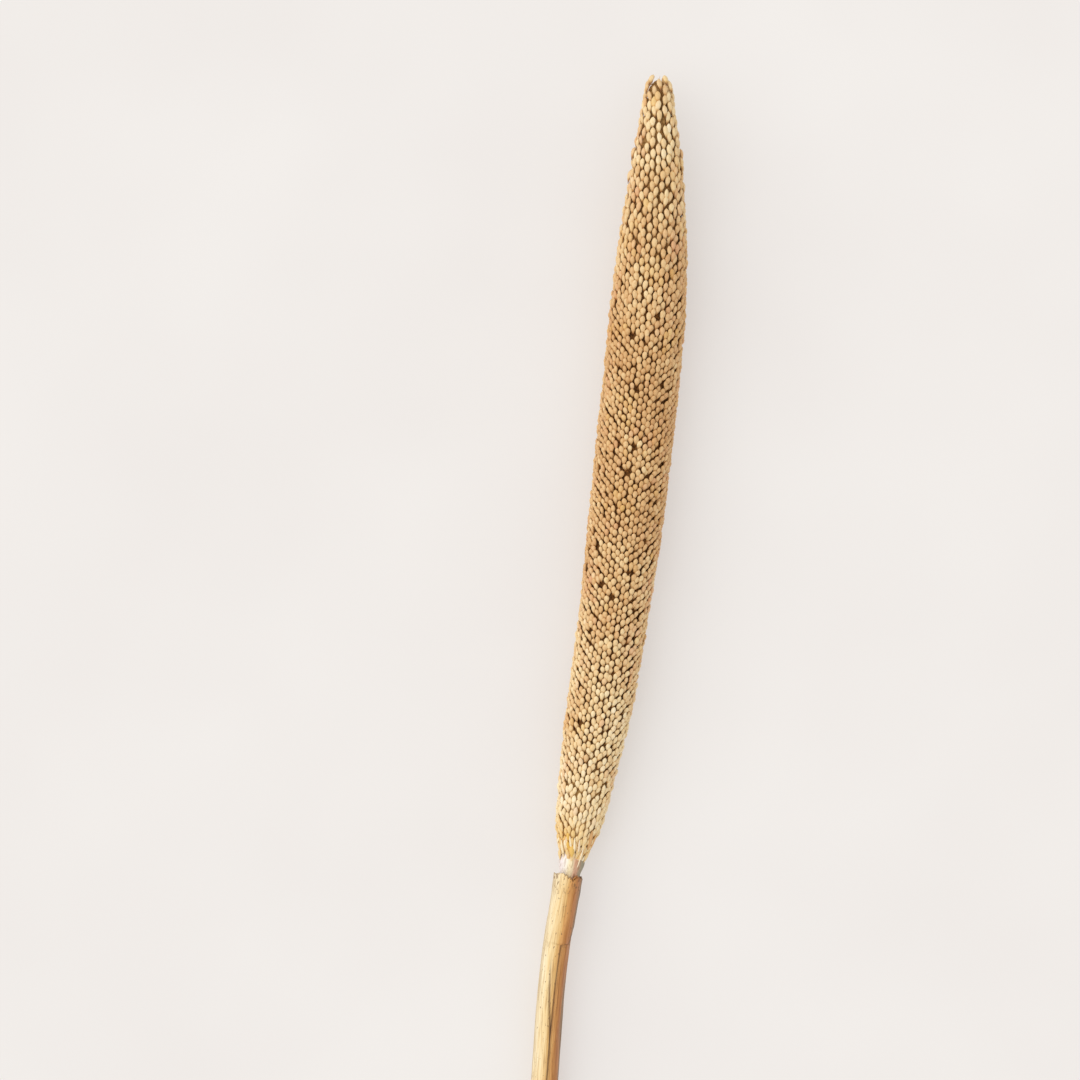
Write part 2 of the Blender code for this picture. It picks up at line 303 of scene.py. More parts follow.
def place_grains():
    """The distance along the head and the angle of every grain, spread evenly over it."""
    draw = np.random.default_rng(SEED)
    distances, angles = [], []
    distance = FIRST_GRAIN
    ring = 0
    while distance < HEAD_LENGTH - LAST_GRAIN:
        around = FULL_TURN * (head_radius(distance) - SPACING_DEPTH)
        count = round(float(around / (2 * smooth_curve(COLUMN_WIDTH, distance))))
        count = max(count, FEWEST_IN_A_RING)
        turns = (np.arange(count) + ring % 2 / 2 + draw.uniform(-0.1, 0.1)) / count
        angles.append(turns * FULL_TURN)
        distances.append(distance + draw.uniform(-0.25, 0.25, count))
        slope = float(head_radius(distance + 0.05) - head_radius(distance - 0.05)) / 0.1
        distance += float(smooth_curve(STEP_ALONG, distance)) / 2 / math.hypot(1.0, slope)
        ring += 1
    distances, angles = np.concatenate(distances), np.concatenate(angles)
    for _ in range(SPREADING_ROUNDS):
        spread_apart(distances, angles)
    step = smooth_curve(STEP_ALONG, distances)
    radius = np.maximum(head_radius(distances) - SPACING_DEPTH, LEAST_RADIUS)
    distances += draw.normal(0, PLACE_JITTER, len(step)) * step
    angles += draw.normal(0, PLACE_JITTER, len(step)) * smooth_curve(COLUMN_WIDTH, distances) / radius
    kept = (draw.uniform(size=len(step)) > MISSING_GRAINS) & (distances < HEAD_LENGTH)
    return distances[kept], angles[kept]


# Neighbours are at most this many grains apart in the order of placing. They push each other
# when they are closer than a share of their spacing, and columns of staggered grains stand
# nearer than the grains themselves, by the height of an even triangle.
NEIGHBOUR_GAPS = 75
TRIANGLE_HEIGHT = 0.866
PUSH_REACH = 1.05
PUSH_SHARE = 0.25


def spread_apart(distances, angles):
    """Push neighbouring grains apart a little, in steps of their own spacing."""
    column = smooth_curve(COLUMN_WIDTH, distances) / TRIANGLE_HEIGHT
    step = smooth_curve(STEP_ALONG, distances)
    radius = np.maximum(head_radius(distances) - SPACING_DEPTH, LEAST_RADIUS)
    push = np.zeros((len(distances), 2))
    for gap in range(1, NEIGHBOUR_GAPS):
        turn = (angles[gap:] - angles[:-gap] + math.pi) % FULL_TURN - math.pi
        x = turn * radius[gap:] / column[gap:]
        y = (distances[gap:] - distances[:-gap]) / step[gap:]
        apart = np.hypot(x, y) + 1e-6
        strength = np.clip(PUSH_REACH - apart, 0.0, None) * PUSH_SHARE / apart
        move = np.stack([x * strength, y * strength], axis=-1)
        push[gap:] += move
        push[:-gap] -= move
    free = (distances < HEAD_LENGTH - 2 * TIP_CAP_LENGTH).astype(float)
    angles += push[:, 0] * column / radius * free
    distances += push[:, 1] * step * free


# How much grains differ: lean, yaw and roll in degrees, and how pointed they are.
LEAN_SPREAD = 5.0
YAW_SPREAD = 6.0
ROLL_SPREAD = 11.0
POINT_SPREAD = 0.15


def grow_grains(husk):
    """All the grains, each leaning out of the head towards its tip, in a few pieces."""
    draw = np.random.default_rng(SEED + 1)
    distance, angle = place_grains()
    order = np.argsort(distance)
    distance, angle = distance[order], angle[order]
    count = len(distance)
    middle, forwards, up, right = stem_frame(HEAD_STATION + distance)
    outwards = up * np.cos(angle)[:, None] + right * np.sin(angle)[:, None]
    around = right * np.cos(angle)[:, None] - up * np.sin(angle)[:, None]
    slope = np.clip((head_radius(distance) - head_radius(distance - 0.6)) / 0.6, -0.9, 0.3)
    lean = np.radians(smooth_curve(GRAIN_LEAN, distance) + draw.normal(0, LEAN_SPREAD, count))
    lean = (lean + np.arctan(slope))[:, None]
    yaw = draw.normal(0, math.radians(YAW_SPREAD), count)[:, None]
    size = draw.uniform(0.9, 1.1, count)
    length = smooth_curve(GRAIN_LENGTH, distance) * size
    width = smooth_curve(GRAIN_WIDTH, distance) * draw.uniform(0.9, 1.08, count)
    pointed = smooth_curve(GRAIN_POINT, distance) + draw.normal(0, POINT_SPREAD, count)
    pointed = np.clip(pointed, 0, 1)
    axis = unit(forwards * np.cos(lean) + outwards * np.sin(lean) + around * np.tan(yaw))
    roll = draw.normal(0, math.radians(ROLL_SPREAD), count)[:, None]
    flat_side = unit(np.cross(axis, outwards))
    flat_face = np.cross(flat_side, axis)
    side = flat_side * np.cos(roll) + flat_face * np.sin(roll)
    face = flat_face * np.cos(roll) - flat_side * np.sin(roll)
    sunk = draw.gamma(1.5, 0.14, count) - 0.12
    tips = middle + outwards * np.maximum(head_radius(distance) - sunk, 0.0)[:, None]
    rings = np.array(GRAIN_RINGS)
    share = rings[:, 0] * (1 - BEAK_LENGTH)
    profile = rings[:, 1] + (rings[:, 2] - rings[:, 1]) * pointed[:, None]
    half_width = width[:, None] / 2 * profile
    bow = 0.1 * width[:, None] * np.sin(math.pi * share)
    back = (share - 1)[None] * length[:, None]
    centres = tips[:, None] + axis[:, None] * back[..., None] + face[:, None] * bow[..., None]
    bodies = Bodies(centres, side, face, half_width, half_width * GRAIN_DEPTH, tips, GRAIN_SIDES)
    tone, blush, gold = colour_grains(draw, distance, angle, tips)
    # Near the head's base the grains get none of the painted heel shade, and it fades in by 34 mm along
    # the head.
    heel_shade_lift = 0.4 * (1 - smooth_step(4.0, 34.0, distance))
    along = heel_shade_lift[:, None] + (1 - heel_shade_lift[:, None]) * share
    layers = bodies.husk_layers(along, 0.0, tone, blush, gold, length)
    for number, chosen in enumerate(np.array_split(np.arange(count), GRAIN_PIECES)):
        own = {name: np.concatenate(list(values[chosen])) for name, values in layers.items()}
        points = bodies.points[chosen].reshape(-1, 3)
        faces = bodies.faces(len(chosen))
        make_piece(f"grains_{number + 1}", points, faces, husk, "grain", **own)
    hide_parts("grain_head")


def colour_grains(draw, distance, angle, tips):
    """How pale, how pink and how golden each grain is, with a golden patch near the base."""
    count = len(distance)
    tone = smooth_curve(GRAIN_TONE, distance) + 0.05 * uneven(tips, 22.0, 3)
    tone = tone + draw.normal(0, 0.06, count)
    blush = np.clip(0.2 * uneven(tips, 14.0, 4) + draw.normal(0, 0.16, count) - 0.1, 0, 1)
    gold = np.clip(0.2 * uneven(tips, 17.0, 5) + draw.normal(0, 0.14, count) - 0.16, 0, 1)
    degrees = np.degrees(angle + math.pi) % 360 - 180
    patch = bell(distance, 7.0, 4.0) * bell(degrees, -30.0, 16.0)
    gold = np.clip(gold + 0.6 * patch + 0.45 * bell(distance, 6.0, 9.0), 0, 1)
    return tone, blush, gold


# The axis ends this far under the head's tip.
TIP_COVER = 2.6


def build_rachis(chaff):
    """The spike's own axis with the chaff that fills the space between the grains' heels, painted dark
    brown as the shade in the gaps.
    """
    rows, columns = 360, 72
    length = HEAD_LENGTH - TIP_COVER
    distance = length * np.sin(np.linspace(0, 1, rows) * math.pi / 2)
    angle = FULL_TURN * np.arange(columns) / columns
    lean = np.radians(smooth_curve(GRAIN_LEAN, distance))
    depth = 0.55 * smooth_curve(GRAIN_LENGTH, distance) * np.sin(lean) + 0.7
    radius = np.maximum(head_radius(distance) - depth, 0.25)
    past_cap = np.clip(1 - (length - distance) / TIP_CAP_LENGTH, 0.0, 0.995)
    radius *= np.sqrt(1 - past_cap ** 2)
    radius *= np.sqrt(smooth_step(-1.0, 3.5, distance)) * 0.25 + 0.75
    places = around_stem(*np.broadcast_arrays(HEAD_STATION + distance[:, None], radius[:, None], angle))
    places = around_stem(*np.broadcast_arrays(
        HEAD_STATION + distance[:, None],
        radius[:, None] + 0.18 * uneven(places, 1.3, 6) + 0.1 * uneven(places, 0.6, 7),
        angle,
    ))
    ends = around_stem(np.array([HEAD_STATION, HEAD_STATION + distance[-1]]), np.zeros(2), np.zeros(2))
    points = np.concatenate([places.reshape(-1, 3), ends])
    first = np.arange(columns)
    last = first + (rows - 1) * columns
    caps = np.concatenate([
        fan_faces(first[::-1], rows * columns), fan_faces(last, rows * columns + 1),
    ])
    bare = np.append(np.repeat(1 - smooth_step(2.0, 45.0, distance), columns), [1.0, 0.0])
    light = np.append(np.repeat(smooth_step(170.0, 240.0, distance), columns), [0.0, 1.0])
    tone = bare + 0.3 * light
    make_piece("rachis", points, [grid_faces(rows, columns), caps], chaff, "grain", tone=tone)


# Rings of a blade from its foot to its tip: share of the length, and share of the half width.
BLADE_RINGS = (
    (0.0, 0.5), (0.12, 0.8), (0.3, 1.0), (0.5, 0.98), (0.7, 0.8), (0.86, 0.5), (0.96, 0.22),
)
BLADE_SIDES = 6


def grow_blades(start, end, outwards, bow, width, thickness):
    """Slim tapering blades from start to end, each bent outwards by its bow."""
    shares, widths = np.array(BLADE_RINGS).T
    line = end - start
    bend = np.sin(math.pi * shares)[None, :, None] * (outwards * bow[:, None])[:, None]
    centres = start[:, None] + line[:, None] * shares[None, :, None] + bend
    side = unit(np.cross(line, outwards))
    face = unit(np.cross(side, line))
    half_width = width[:, None] / 2 * widths
    half_depth = thickness[:, None] / 2 * widths
    return Bodies(centres, side, face, half_width, half_depth, end, BLADE_SIDES), shares


def finish_blades(name, blades, shares, lengths, tone, blush, gold, husk):
    """One piece of a set of blades, in the grains' own husk without the painted shade at its heel."""
    along = np.broadcast_to(0.35 + 0.6 * shares, (blades.count, len(shares)))
    layers = blades.husk_layers(along, 0.3, tone, blush, gold, lengths)
    own = {key: np.concatenate(list(values)) for key, values in layers.items()}
    points = blades.points.reshape(-1, 3)
    make_piece(name, points, blades.faces(blades.count), husk, "grain", **own)


BRISTLE_COUNT = 420
BRISTLE_FOOT_DEPTH = 1.3
BRISTLE_REACH = 1.65


def grow_bristles(husk):
    """Short bristles and husk tips that stick out a little between the grains."""
    draw = np.random.default_rng(SEED + 2)
    count = BRISTLE_COUNT
    distance = draw.uniform(2.0, HEAD_LENGTH - 3.0, count)
    angle = draw.uniform(0, FULL_TURN, count)
    _, forwards, up, right = stem_frame(HEAD_STATION + distance)
    outwards = up * np.cos(angle)[:, None] + right * np.sin(angle)[:, None]
    around = np.cross(forwards, outwards)
    radius = head_radius(distance)
    start = around_stem(HEAD_STATION + distance, radius - BRISTLE_FOOT_DEPTH, angle)
    lean = np.radians(smooth_curve(GRAIN_LEAN, distance) + draw.normal(0, 9, count))[:, None]
    length = draw.uniform(1.6, 2.3, count)
    way = forwards * np.cos(lean) + outwards * np.sin(lean)
    way = way + around * draw.normal(0, 0.25, count)[:, None]
    reach = np.minimum(length, BRISTLE_REACH / np.maximum((unit(way) * outwards).sum(-1), 0.2))
    end = start + unit(way) * reach[:, None]
    blades, shares = grow_blades(
        start, end, outwards, draw.uniform(-0.05, 0.12, count),
        draw.uniform(0.12, 0.34, count), draw.uniform(0.1, 0.18, count),
    )
    tone = smooth_curve(GRAIN_TONE, distance) + draw.normal(0, 0.2, count)
    blush, gold = draw.uniform(0, 0.5, count), draw.uniform(0, 0.3, count)
    finish_blades("bristles", blades, shares, length, tone, blush, gold, husk)


# The stalk's radius where it meets the head.
STALK_TOP_RADIUS = 4.05

# Loose husks and strands at the head's base: where each starts and ends, as a station and an
# angle in degrees, how high each end stands over the surface, width, thickness, tone, blush
# and gold.
BASE_STRANDS = (
    ((236.6, 31), (228.3, 25), 0.2, 0.25, 0.5, 0.35, 1.1, 0.1, 0.0),
    ((234.6, -11), (238.9, -19), 0.3, 0.5, 0.8, 0.5, 1.1, 0.0, 0.15),
    ((233.7, 2), (238.6, -5), 0.3, 0.5, 0.8, 0.5, 1.15, 0.0, 0.1),
    ((233.9, 17), (238.3, 9), 0.3, 0.5, 0.7, 0.5, 1.1, 0.25, 0.0),
    ((235.9, -10), (231.9, -4), 0.35, 0.3, 1.9, 0.5, 0.9, 0.0, 0.9),
    ((235.2, 56), (241.8, 38), 0.2, 0.4, 1.7, 0.6, 0.55, 0.6, 0.3),
    ((234.9, 74), (240.9, 58), 0.2, 0.4, 1.6, 0.6, 0.5, 0.5, 0.4),
    ((237.2, -62), (235.1, -84), 0.3, 0.5, 0.9, 0.4, 1.0, 0.0, 0.0),
    ((233.2, 42), (238.2, 30), 0.1, 0.4, 0.6, 0.4, 0.8, 0.1, 0.4),
    ((232.4, -42), (237.0, -50), 0.1, 0.4, 1.0, 0.5, 1.1, 0.0, 0.3),
)


BASE_HUSK_COUNT = 90
STRAND_BOW = 0.15


def grow_base_husks(husk):
    """The collar of empty husks and pedicels under the lowest grains, and the loose strands."""
    draw = np.random.default_rng(SEED + 3)
    count = BASE_HUSK_COUNT
    angle = FULL_TURN * (np.arange(count) + draw.uniform(-0.4, 0.4, count)) / count
    station = HEAD_STATION + draw.uniform(-1.6, 3.2, count)
    length = draw.uniform(2.6, 4.6, count)
    outwards = np.stack([np.zeros(count), -np.sin(angle), np.cos(angle)], axis=-1)
    start = around_stem(station, STALK_TOP_RADIUS + 0.22 * (station - HEAD_STATION) - 0.5, angle)
    end_station = station + length
    end_radius = head_radius(end_station - HEAD_STATION) - 0.45
    end = around_stem(end_station, end_radius, angle + draw.normal(0, 0.08, count))
    width = draw.uniform(0.5, 1.25, count)
    thickness = draw.uniform(0.3, 0.55, count)
    tone = draw.normal(0.95, 0.14, count)
    blush = np.clip(draw.normal(0.05, 0.25, count), 0, 1)
    gold = np.clip(draw.normal(0.2, 0.3, count), 0, 1)
    bow = draw.uniform(0.1, 0.35, count)

    table = np.array([[*row[0], *row[1], *row[2:]] for row in BASE_STRANDS], float)
    from_station, from_turn = table[:, 0], np.radians(table[:, 1])
    to_station, to_turn = table[:, 2], np.radians(table[:, 3])
    strand_start = around_stem(from_station, base_radius(from_station) + table[:, 4], from_turn)
    strand_end = around_stem(to_station, base_radius(to_station) + table[:, 5], to_turn)
    middle_turn = (from_turn + to_turn) / 2
    strand_out = np.stack([np.zeros(len(table)), -np.sin(middle_turn), np.cos(middle_turn)], axis=-1)
    blades, shares = grow_blades(
        np.concatenate([start, strand_start]), np.concatenate([end, strand_end]),
        np.concatenate([outwards, strand_out]), np.concatenate([bow, np.full(len(table), STRAND_BOW)]),
        np.concatenate([width, table[:, 6]]), np.concatenate([thickness, table[:, 7]]),
    )
    lengths = np.concatenate([length, np.linalg.norm(strand_end - strand_start, axis=-1)])
    finish_blades(
        "base_husks", blades, shares, lengths, np.concatenate([tone, table[:, 8]]),
        np.concatenate([blush, table[:, 9]]), np.concatenate([gold, table[:, 10]]), husk,
    )


def base_radius(station):
    """The surface that the loose strands lie on: the stalk, then the lowest grains."""
    return np.where(station < HEAD_STATION, STALK_TOP_RADIUS, head_radius(station - HEAD_STATION) - 0.1)


STALK_OUTLINE = (
    (0.0, 3.05), (60.0, 3.0), (150.0, 3.0), (210.0, 3.0), (222.0, 3.1), (226.5, 3.35),
    (228.5, 3.85), (230.0, 4.1), (231.0, 4.0), (234.0, 3.6),
)
STALK_END = 234.0

# The cut: a rim of hard rind round pith that has shrunk back. Shares of the radius, from the rim
# to the middle, and how deep each lies. The pith starts inside the given share.
CUT_SHARES = np.array([0.93, 0.86, 0.8, 0.55, 0.3, 0.12])
CUT_DEPTHS = np.array([0.0, 0.05, 0.3, 0.42, 0.5, 0.55])
PITH_SHARE = 0.85


def build_stalk(straw):
    """The stalk: a ribbed rod, swollen under the head, with a pithy cut at its other end."""
    columns = 144
    plain = np.arange(0.0, 212.0, 4.0)
    close = np.arange(212.0, 234.1, 0.4)
    station = np.concatenate([plain, close])
    angle = FULL_TURN * np.arange(columns) / columns
    radius = smooth_curve(STALK_OUTLINE, station)[:, None]
    ribs = 0.07 * np.cos(18 * angle + 0.6 * np.sin(3 * angle)) + 0.04 * np.cos(41 * angle + 1.0)
    ribs = ribs[None] * (0.8 + 0.2 * np.sin(station / 3.1))[:, None]
    swell = 0.12 * bell(station[:, None], 229.6, 1.6) * np.cos(9 * angle)
    points = around_stem(*np.broadcast_arrays(station[:, None], radius + ribs + swell, angle))
    in_pith = CUT_SHARES < PITH_SHARE
    cut_radius = (radius[0] + ribs[0])[None] * CUT_SHARES[:, None]
    cut_place = [cut_radius * np.cos(angle), cut_radius * np.sin(angle), 0.0 * cut_radius]
    rough = 0.07 * uneven(np.stack(np.broadcast_arrays(*cut_place), axis=-1), 0.9, 8)
    cut_station = CUT_DEPTHS[:, None] + rough * in_pith[:, None]
    cut = around_stem(*np.broadcast_arrays(cut_station, cut_radius, angle))
    grid = np.concatenate([cut[::-1], points])
    rows = len(grid)
    end_stations = np.array([CUT_DEPTHS[-1], STALK_END])
    ends = around_stem(end_stations, np.zeros(2), np.zeros(2))
    first, last = np.arange(columns), np.arange(columns) + (rows - 1) * columns
    caps = np.concatenate([
        fan_faces(first[::-1], rows * columns), fan_faces(last, rows * columns + 1),
    ])
    all_points = np.concatenate([grid.reshape(-1, 3), ends])
    all_station = np.concatenate([
        np.repeat(CUT_DEPTHS[::-1], columns), np.repeat(station, columns), end_stations,
    ])
    all_radius = np.concatenate([cut_radius[::-1].ravel(), (radius + ribs).ravel(), [0.0, 0.0]])
    all_angle = np.concatenate([np.tile(angle, rows), [0.0, 0.0]])
    across, height = all_radius * np.sin(all_angle), all_radius * np.cos(all_angle)
    place = np.stack([across, height, all_station], axis=-1)
    pith = np.concatenate([
        np.repeat(in_pith[::-1].astype(float), columns), np.zeros(len(station) * columns),
        [1.0, 0.0],
    ])
    faces = [grid_faces(rows, columns), caps]
    piece = make_piece(
        "stalk_straw", all_points, faces, straw, "stalk", stem_place=place, pith=pith,
    )
    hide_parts("stalk")


# The rolled sheet, in millimetres and degrees: it starts at its hidden margin, goes once round,
# and climbs over itself by one step to its outer margin.
SHEET_STEP = 0.9
SHEATH_OUTER_RADIUS = 4.0
LEAF_THICKNESS = 0.28
HIDDEN_MARGIN = -45.0
LAYER_RISE_START = 180.0
TORN_MARGIN = ((0.0, -18.0), (100.0, -6.0), (160.0, 4.0), (190.0, 10.0), (TEAR_STATION, 14.0))
WHOLE_MARGIN = ((TEAR_STATION, 46.0), (209.0, 64.0), (216.0, 70.0), (RIM_STATION, 62.0))
TEAR_WIDTH = 0.8
RIM_FLARE = 0.35
RIM_FLARE_LENGTH = 9.0
RIM_RAGGED_LENGTH = 5.0
VEIN_COUNT = 54
VEIN_HEIGHT = 0.045

# A second groove that runs down the sheath left of its torn margin: station and degrees.
SECOND_GROOVE = (
    (140.0, 26.0), (160.0, 17.0), (176.0, 3.0), (186.0, -9.0), (194.0, -16.0), (203.0, -20.0),
)
GROOVE_WIDTH = 3.5
GROOVE_DEPTH = 0.28


def margin_angle(station):
    """The angle of the sheath's outer margin, which steps back where the sheet is torn."""
    torn = smooth_curve(TORN_MARGIN, station)
    whole = smooth_curve(WHOLE_MARGIN, station)
    return torn + (whole - torn) * smooth_step(TEAR_STATION, TEAR_STATION + TEAR_WIDTH, station)


def rim_height(degrees):
    """How far the torn rim stands over or under its mean station, by angle."""
    angle = np.radians(degrees)
    teeth = 0.4 * np.sin(2.3 * angle + 1) + 0.22 * np.sin(7 * angle) + 0.14 * np.sin(23 * angle)
    top = (degrees + 180) % 360 - 180
    lips = 0.6 * bell(top, -23, 13) - 1.2 * bell(top, 15, 8)
    lips = lips + 0.6 * bell(top, 37, 11) - 0.7 * bell(top, -2, 4)
    return teeth * 0.8 + lips


def build_sheath(leaf):
    """The rolled leaf sheath, as two skins of one grid, joined round its margins and ends."""
    columns = 150
    station = np.concatenate([
        np.arange(SHEATH_STATION, 196.0, 1.9), np.arange(196.0, 203.2, 0.5),
        np.arange(203.2, 204.5, 0.14), np.arange(204.6, RIM_STATION - 5.0, 0.5),
        np.linspace(RIM_STATION - 5.0, RIM_STATION, 17),
    ])
    rows = len(station)
    share = np.linspace(0, 1, columns)
    wrap = 360 + margin_angle(station) - HIDDEN_MARGIN
    degrees = HIDDEN_MARGIN + wrap[:, None] * share
    angle = np.radians(degrees)
    near_rim = smooth_step(RIM_STATION - RIM_RAGGED_LENGTH, RIM_STATION, station)
    ragged = near_rim[:, None] * rim_height(degrees)
    along = station[:, None] + ragged
    flare = RIM_FLARE * smooth_step(RIM_STATION - RIM_FLARE_LENGTH, RIM_STATION, station)[:, None]
    overlap = SHEET_STEP * smooth_step(LAYER_RISE_START, 360 + HIDDEN_MARGIN, degrees)
    to_margin = (360 + margin_angle(station)[:, None] - degrees) * math.pi / 180 * 4.9
    tuck = 0.3 * (1 - smooth_step(0.0, 1.6, to_margin))
    flat_place = np.stack([4.5 * np.sin(angle), 4.5 * np.cos(angle), along / 6], axis=-1)
    veins = VEIN_HEIGHT * np.cos(angle * VEIN_COUNT + 1.5 * uneven(flat_place, 9.0, 9))
    waves = 0.07 * uneven(flat_place, 5.0, 10) + 0.03 * uneven(flat_place, 1.6, 12)
    second = np.where(degrees > 180, degrees - 360, degrees)
    second = second - smooth_curve(SECOND_GROOVE, station)[:, None]
    in_view = (degrees > 270) | (degrees < margin_angle(station)[:, None] - 60)
    second = np.where(in_view, second, 90.0)
    faded = smooth_step(140, 158, station) * (1 - smooth_step(188, 203, station))
    groove = bell(second, 0.0, GROOVE_WIDTH) * faded[:, None]
    outer = SHEATH_OUTER_RADIUS + overlap + flare - tuck + veins + waves
    outer = outer - GROOVE_DEPTH * groove
    skins = []
    for radius in (outer - LEAF_THICKNESS, outer):
        skins.append(around_stem(*np.broadcast_arrays(along, radius, angle)))
    points = np.concatenate([skin.reshape(-1, 3) for skin in skins])
    sheet = grid_faces(rows, columns, closed=False)
    half = rows * columns
    numbers = np.arange(half).reshape(rows, columns)
    outline = np.concatenate([
        numbers[0, :-1], numbers[:-1, -1], numbers[-1, :0:-1], numbers[:0:-1, 0],
    ])
    after = np.roll(outline, -1)
    edges = np.stack([outline, after, after + half, outline + half], axis=-1)
    faces = np.concatenate([sheet[:, ::-1], sheet + half, edges])
    place = np.stack([outer * np.sin(angle), outer * np.cos(angle), along], axis=-1).reshape(-1, 3)
    from_rim = np.repeat(RIM_STATION - station, columns)
    own = {
        "stem_place": np.concatenate([place, place]),
        "groove": np.tile(groove.ravel(), 2),
        "to_margin": np.tile(np.clip(to_margin, 0, 20).ravel(), 2),
        "from_rim": np.tile(from_rim, 2),
    }
    piece = make_piece("leaf_sheath_sheet", points, [faces], leaf, "sheath", **own)
    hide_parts("leaf_sheath")


def linear(code):
    """A colour written as sRGB hex, as the linear values that Blender takes."""
    parts = [int(code[k:k + 2], 16) / 255 for k in (1, 3, 5)]
    dark = 0.04045
    light = [part / 12.92 if part <= dark else ((part + 0.055) / 1.055) ** 2.4 for part in parts]
    return light + [1.0]


def add_node(tree, kind, inputs=(), stops=(), **settings):
    """Add a shader node with its settings, its colour stops, and what goes into its sockets."""
    node = tree.nodes.new("ShaderNode" + kind)
    for name, value in settings.items():
        setattr(node, name, value)
    for socket, value in dict(inputs).items():
        if isinstance(value, bpy.types.NodeSocket):
            tree.links.new(value, node.inputs[socket])
        else:
            node.inputs[socket].default_value = value
    if stops:
        elements = node.color_ramp.elements
        for place, code in stops[1:-1]:
            elements.new(place).color = linear(code)
        for element, (place, code) in ((elements[0], stops[0]), (elements[-1], stops[-1])):
            element.position = place
            element.color = linear(code)
    return node


def start_material(name, roughness=0.5, **uniform):
    """A material with a Principled shader, its even values set on the shader's own sockets."""
    material = bpy.data.materials.new(name)
    material.use_nodes = True
    shader = material.node_tree.nodes["Principled BSDF"]
    shader.inputs["Roughness"].default_value = roughness
    for socket, value in uniform.items():
        shader.inputs[socket.replace("_", " ")].default_value = value
    return material, material.node_tree, shader


def husk_of_dried_millet():
    """Papery husk, dried and a little waxy: pale straw, with painted shade that darkens it to brown at the
    heel, and its own brown at the beak.
    """
    material, tree, shader = start_material("dried_millet_husk", 0.5)
    tone = add_node(tree, "Attribute", attribute_name="tone").outputs["Fac"]
    along = add_node(tree, "Attribute", attribute_name="along").outputs["Fac"]
    blush = add_node(tree, "Attribute", attribute_name="blush").outputs["Fac"]
    gold = add_node(tree, "Attribute", attribute_name="gold").outputs["Fac"]
    place = add_node(tree, "Attribute", attribute_name="husk_place").outputs["Vector"]
    # Fibres 0.15 mm apart run along each husk.
    stretched = add_node(tree, "Mapping", {"Vector": place, "Scale": (1.0, 0.12, 1.0)}).outputs[0]
    fibres = add_node(tree, "TexNoise", {"Vector": stretched, "Scale": 1 / 0.15, "Detail": 2.0}).outputs[0]
    mottle = add_node(tree, "TexNoise", {"Vector": place, "Scale": 1 / 0.8, "Detail": 2.0}).outputs[0]
    marks = add_node(tree, "Math", {0: fibres, 1: mottle}, operation="ADD").outputs[0]
    marks = add_node(tree, "Math", {0: marks, 1: 0.4, 2: -0.4}, operation="MULTIPLY_ADD").outputs[0]
    shade = add_node(tree, "Math", {0: tone, 1: marks}, operation="ADD").outputs[0]
    straw = add_node(tree, "ValToRGB", {"Fac": shade}, stops=(
        (0.0, "#8f6233"), (0.3, "#c4935a"), (0.55, "#dcb27a"), (0.8, "#f0d6a4"), (1.0, "#faeccb"),
    )).outputs[0]
    pink, yellow = linear("#d99c74"), linear("#e3b552")
    pinked = add_node(tree, "Mix", {0: blush, 6: straw, 7: pink}, data_type="RGBA").outputs[2]
    gilded = add_node(tree, "Mix", {0: gold, 6: pinked, 7: yellow}, data_type="RGBA").outputs[2]
    # Painted shade: each grain darkens to brown towards its heel, where it sinks between its neighbours.
    # The brown at the beak is the husk's own.
    heel = add_node(tree, "ValToRGB", {"Fac": along}, stops=(
        (0.0, "#6b4520"), (0.16, "#a57c4c"), (0.3, "#e8d6bb"), (0.42, "#ffffff"), (0.93, "#ffffff"),
        (1.0, "#c0935f"),
    )).outputs[0]
    colour = add_node(
        tree, "Mix", {0: 1.0, 6: gilded, 7: heel}, data_type="RGBA", blend_type="MULTIPLY",
    ).outputs[2]
    tree.links.new(colour, shader.inputs["Base Color"])
    polish = add_node(tree, "MapRange", {"Value": mottle, "To Min": 0.42, "To Max": 0.62}).outputs[0]
    tree.links.new(polish, shader.inputs["Roughness"])
    bump = add_node(tree, "Bump", {"Height": fibres, "Strength": 0.35, "Distance": 0.05 * MM}).outputs[0]
    tree.links.new(bump, shader.inputs["Normal"])
    return material


def chaff_with_gap_shade():
    """Broken chaff on the spike's axis: matt, painted dark brown as the shade deep in the gaps between the
    grains, and straw coloured at the base.
    """
    material, tree, shader = start_material("chaff_with_gap_shade", 0.95, Specular_IOR_Level=0.2)
    place = add_node(tree, "TexCoord").outputs["Object"]
    grit = add_node(tree, "TexNoise", {"Vector": place, "Scale": 1 / (0.7 * MM), "Detail": 3.0}).outputs[0]
    tone = add_node(tree, "Attribute", attribute_name="tone").outputs["Fac"]
    # Painted shade: the chaff is dark brown where it shows deep in the gaps between the grains.
    gap_shade_brown = add_node(tree, "ValToRGB", {"Fac": grit}, stops=(
        (0.3, "#3b2410"), (0.5, "#6a441f"), (0.7, "#936433"),
    )).outputs[0]
    straw = add_node(tree, "ValToRGB", {"Fac": grit}, stops=(
        (0.3, "#b98744"), (0.7, "#e2bf80"),
    )).outputs[0]
    colour = add_node(tree, "Mix", {0: tone, 6: gap_shade_brown, 7: straw}, data_type="RGBA").outputs[2]
    tree.links.new(colour, shader.inputs["Base Color"])
    bump = add_node(tree, "Bump", {"Height": grit, "Strength": 0.8, "Distance": 0.2 * MM}).outputs[0]
    tree.links.new(bump, shader.inputs["Normal"])
    return material


